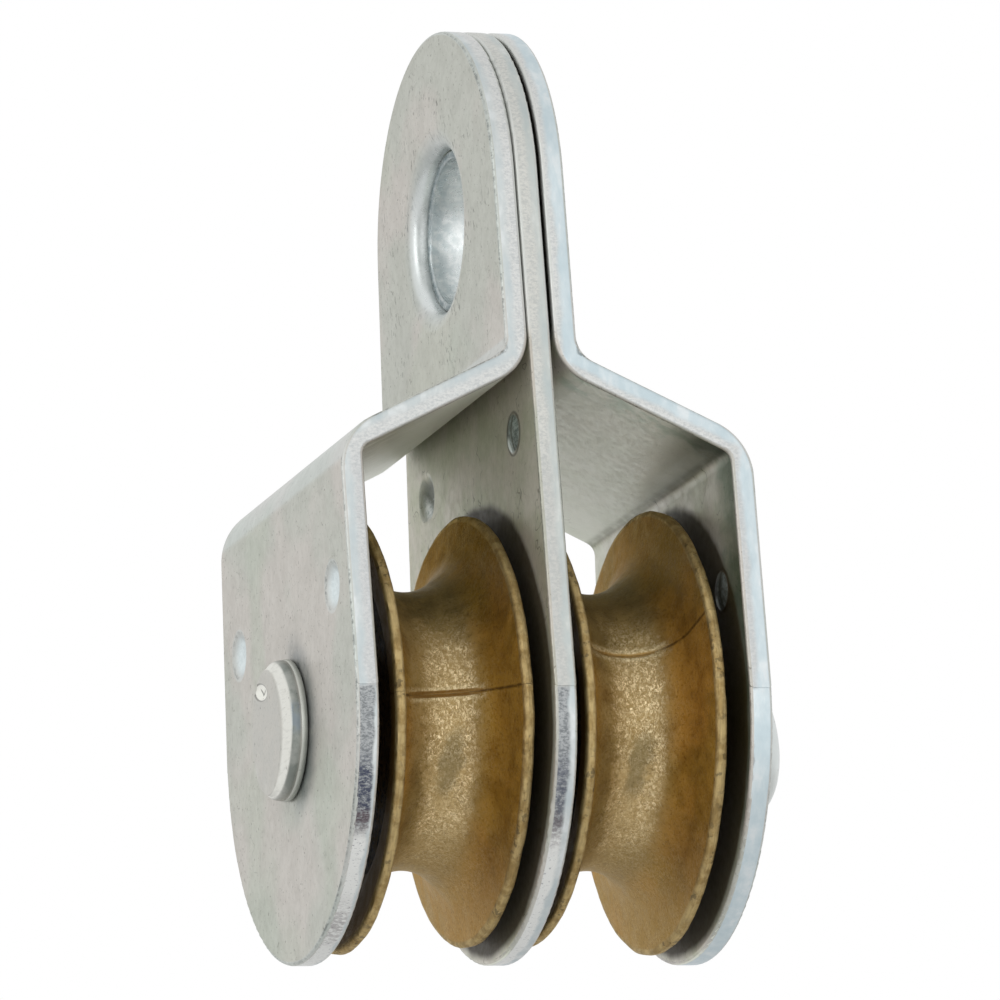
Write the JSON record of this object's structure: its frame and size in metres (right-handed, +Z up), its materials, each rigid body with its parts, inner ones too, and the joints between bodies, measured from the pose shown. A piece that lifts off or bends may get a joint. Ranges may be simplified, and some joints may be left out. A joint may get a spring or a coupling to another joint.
{
  "type": "double sheave block",
  "caption": "Double sheave rope block: three steel strap plates joined at a rigid eye, with a riveted axle and free-running grooved sheaves.",
  "frame": {"origin": "centre of the eye's bore", "axes": "+X along the axle and the eye's bore, towards the rivet's upset tail; +Y along the rope's way through the bays, away from the front; +Z up, from the axle towards the eye"},
  "size_m": [0.0454, 0.0406, 0.0827],
  "materials": {
    "zinc_plate": "satin zinc plate",
    "zinc_rivet": "satin zinc plate",
    "brass_strip": "dull mottled brass plate",
    "sintered_core": "dark sintered iron",
    "oiled_bronze": "oil-dark sintered bronze"
  },
  "bodies": {
    "frame": {"left_strap": "zinc_plate", "centre_strap": "zinc_plate", "right_strap": "zinc_plate", "axle_rivet": "zinc_rivet"},
    "left_sheave": {"left_sheave_rim": "brass_strip", "left_sheave_hub": "sintered_core", "left_sheave_bush": "oiled_bronze"},
    "right_sheave": {"right_sheave_rim": "brass_strip", "right_sheave_hub": "sintered_core", "right_sheave_bush": "oiled_bronze"}
  },
  "joints": [
    {"name": "left_sheave_spin", "type": "hinge", "parent": "frame", "child": "left_sheave", "pos_m": [-0.00845, 0, -0.04491], "axis": [1, 0, 0], "continuous": true},
    {"name": "right_sheave_spin", "type": "hinge", "parent": "frame", "child": "right_sheave", "pos_m": [0.00845, 0, -0.04491], "axis": [1, 0, 0], "continuous": true}
  ]
}
